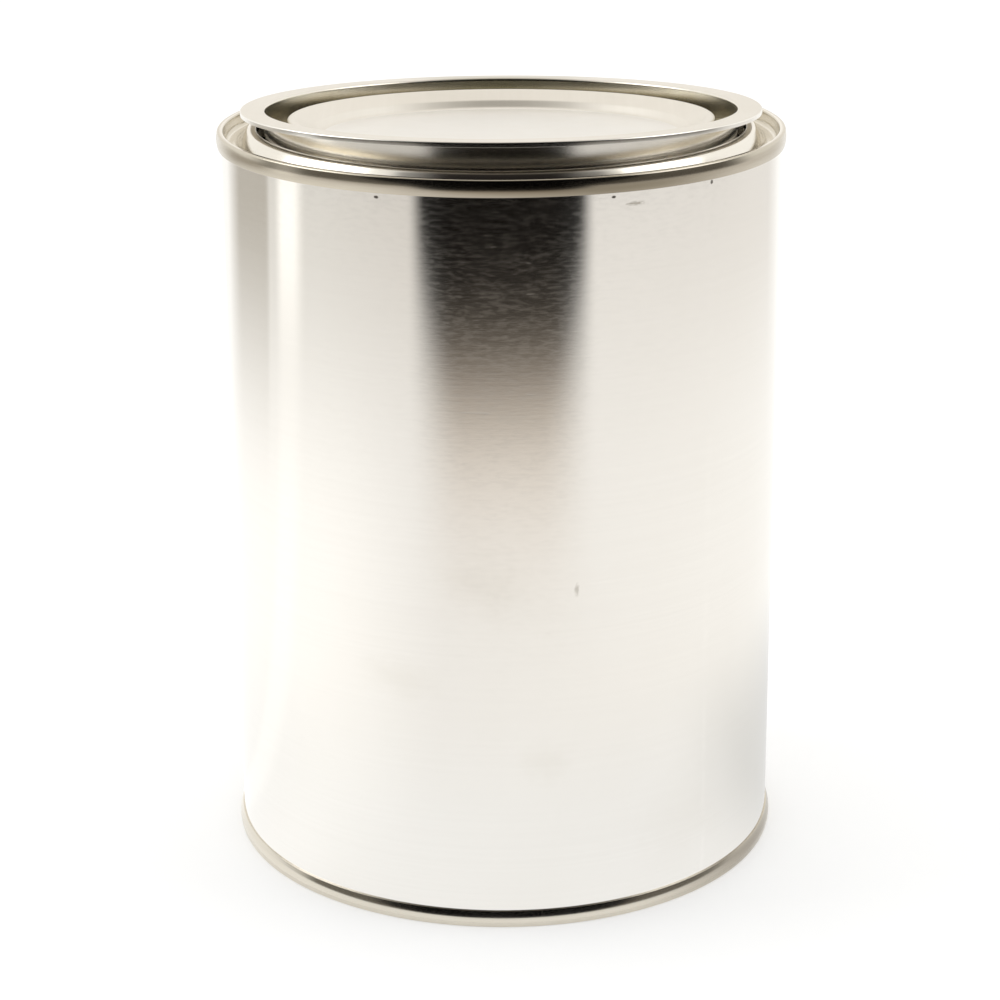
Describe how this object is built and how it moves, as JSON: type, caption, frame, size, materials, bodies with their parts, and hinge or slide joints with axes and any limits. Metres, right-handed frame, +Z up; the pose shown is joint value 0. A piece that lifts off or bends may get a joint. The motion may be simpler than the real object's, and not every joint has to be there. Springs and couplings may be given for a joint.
{
  "type": "lever-lid tin",
  "caption": "Plain bare tinplate tin with a lever lid, shut, its lid sprung up a little at the front; double-seamed top ring and bottom end, welded side seam, no label and no handle.",
  "frame": {"origin": "centre of the circle that the tin stands on, at floor level", "axes": "+Z up along the tin's axis; -Y is the front, where the lid's edge stands highest; the side weld runs up the back, at +Y"},
  "size_m": [0.108, 0.108, 0.1467],
  "materials": {
    "body_tinplate": "satin tinplate with a faint grain round the tin",
    "end_tinplate": "satin tinplate",
    "ring_tinplate": "bright drawn tinplate",
    "lid_tinplate": "bright drawn tinplate"
  },
  "bodies": {
    "root": {"body": "body_tinplate", "bottom_end": "end_tinplate", "top_ring": "ring_tinplate", "lid": "lid_tinplate"}
  },
  "joints": []
}
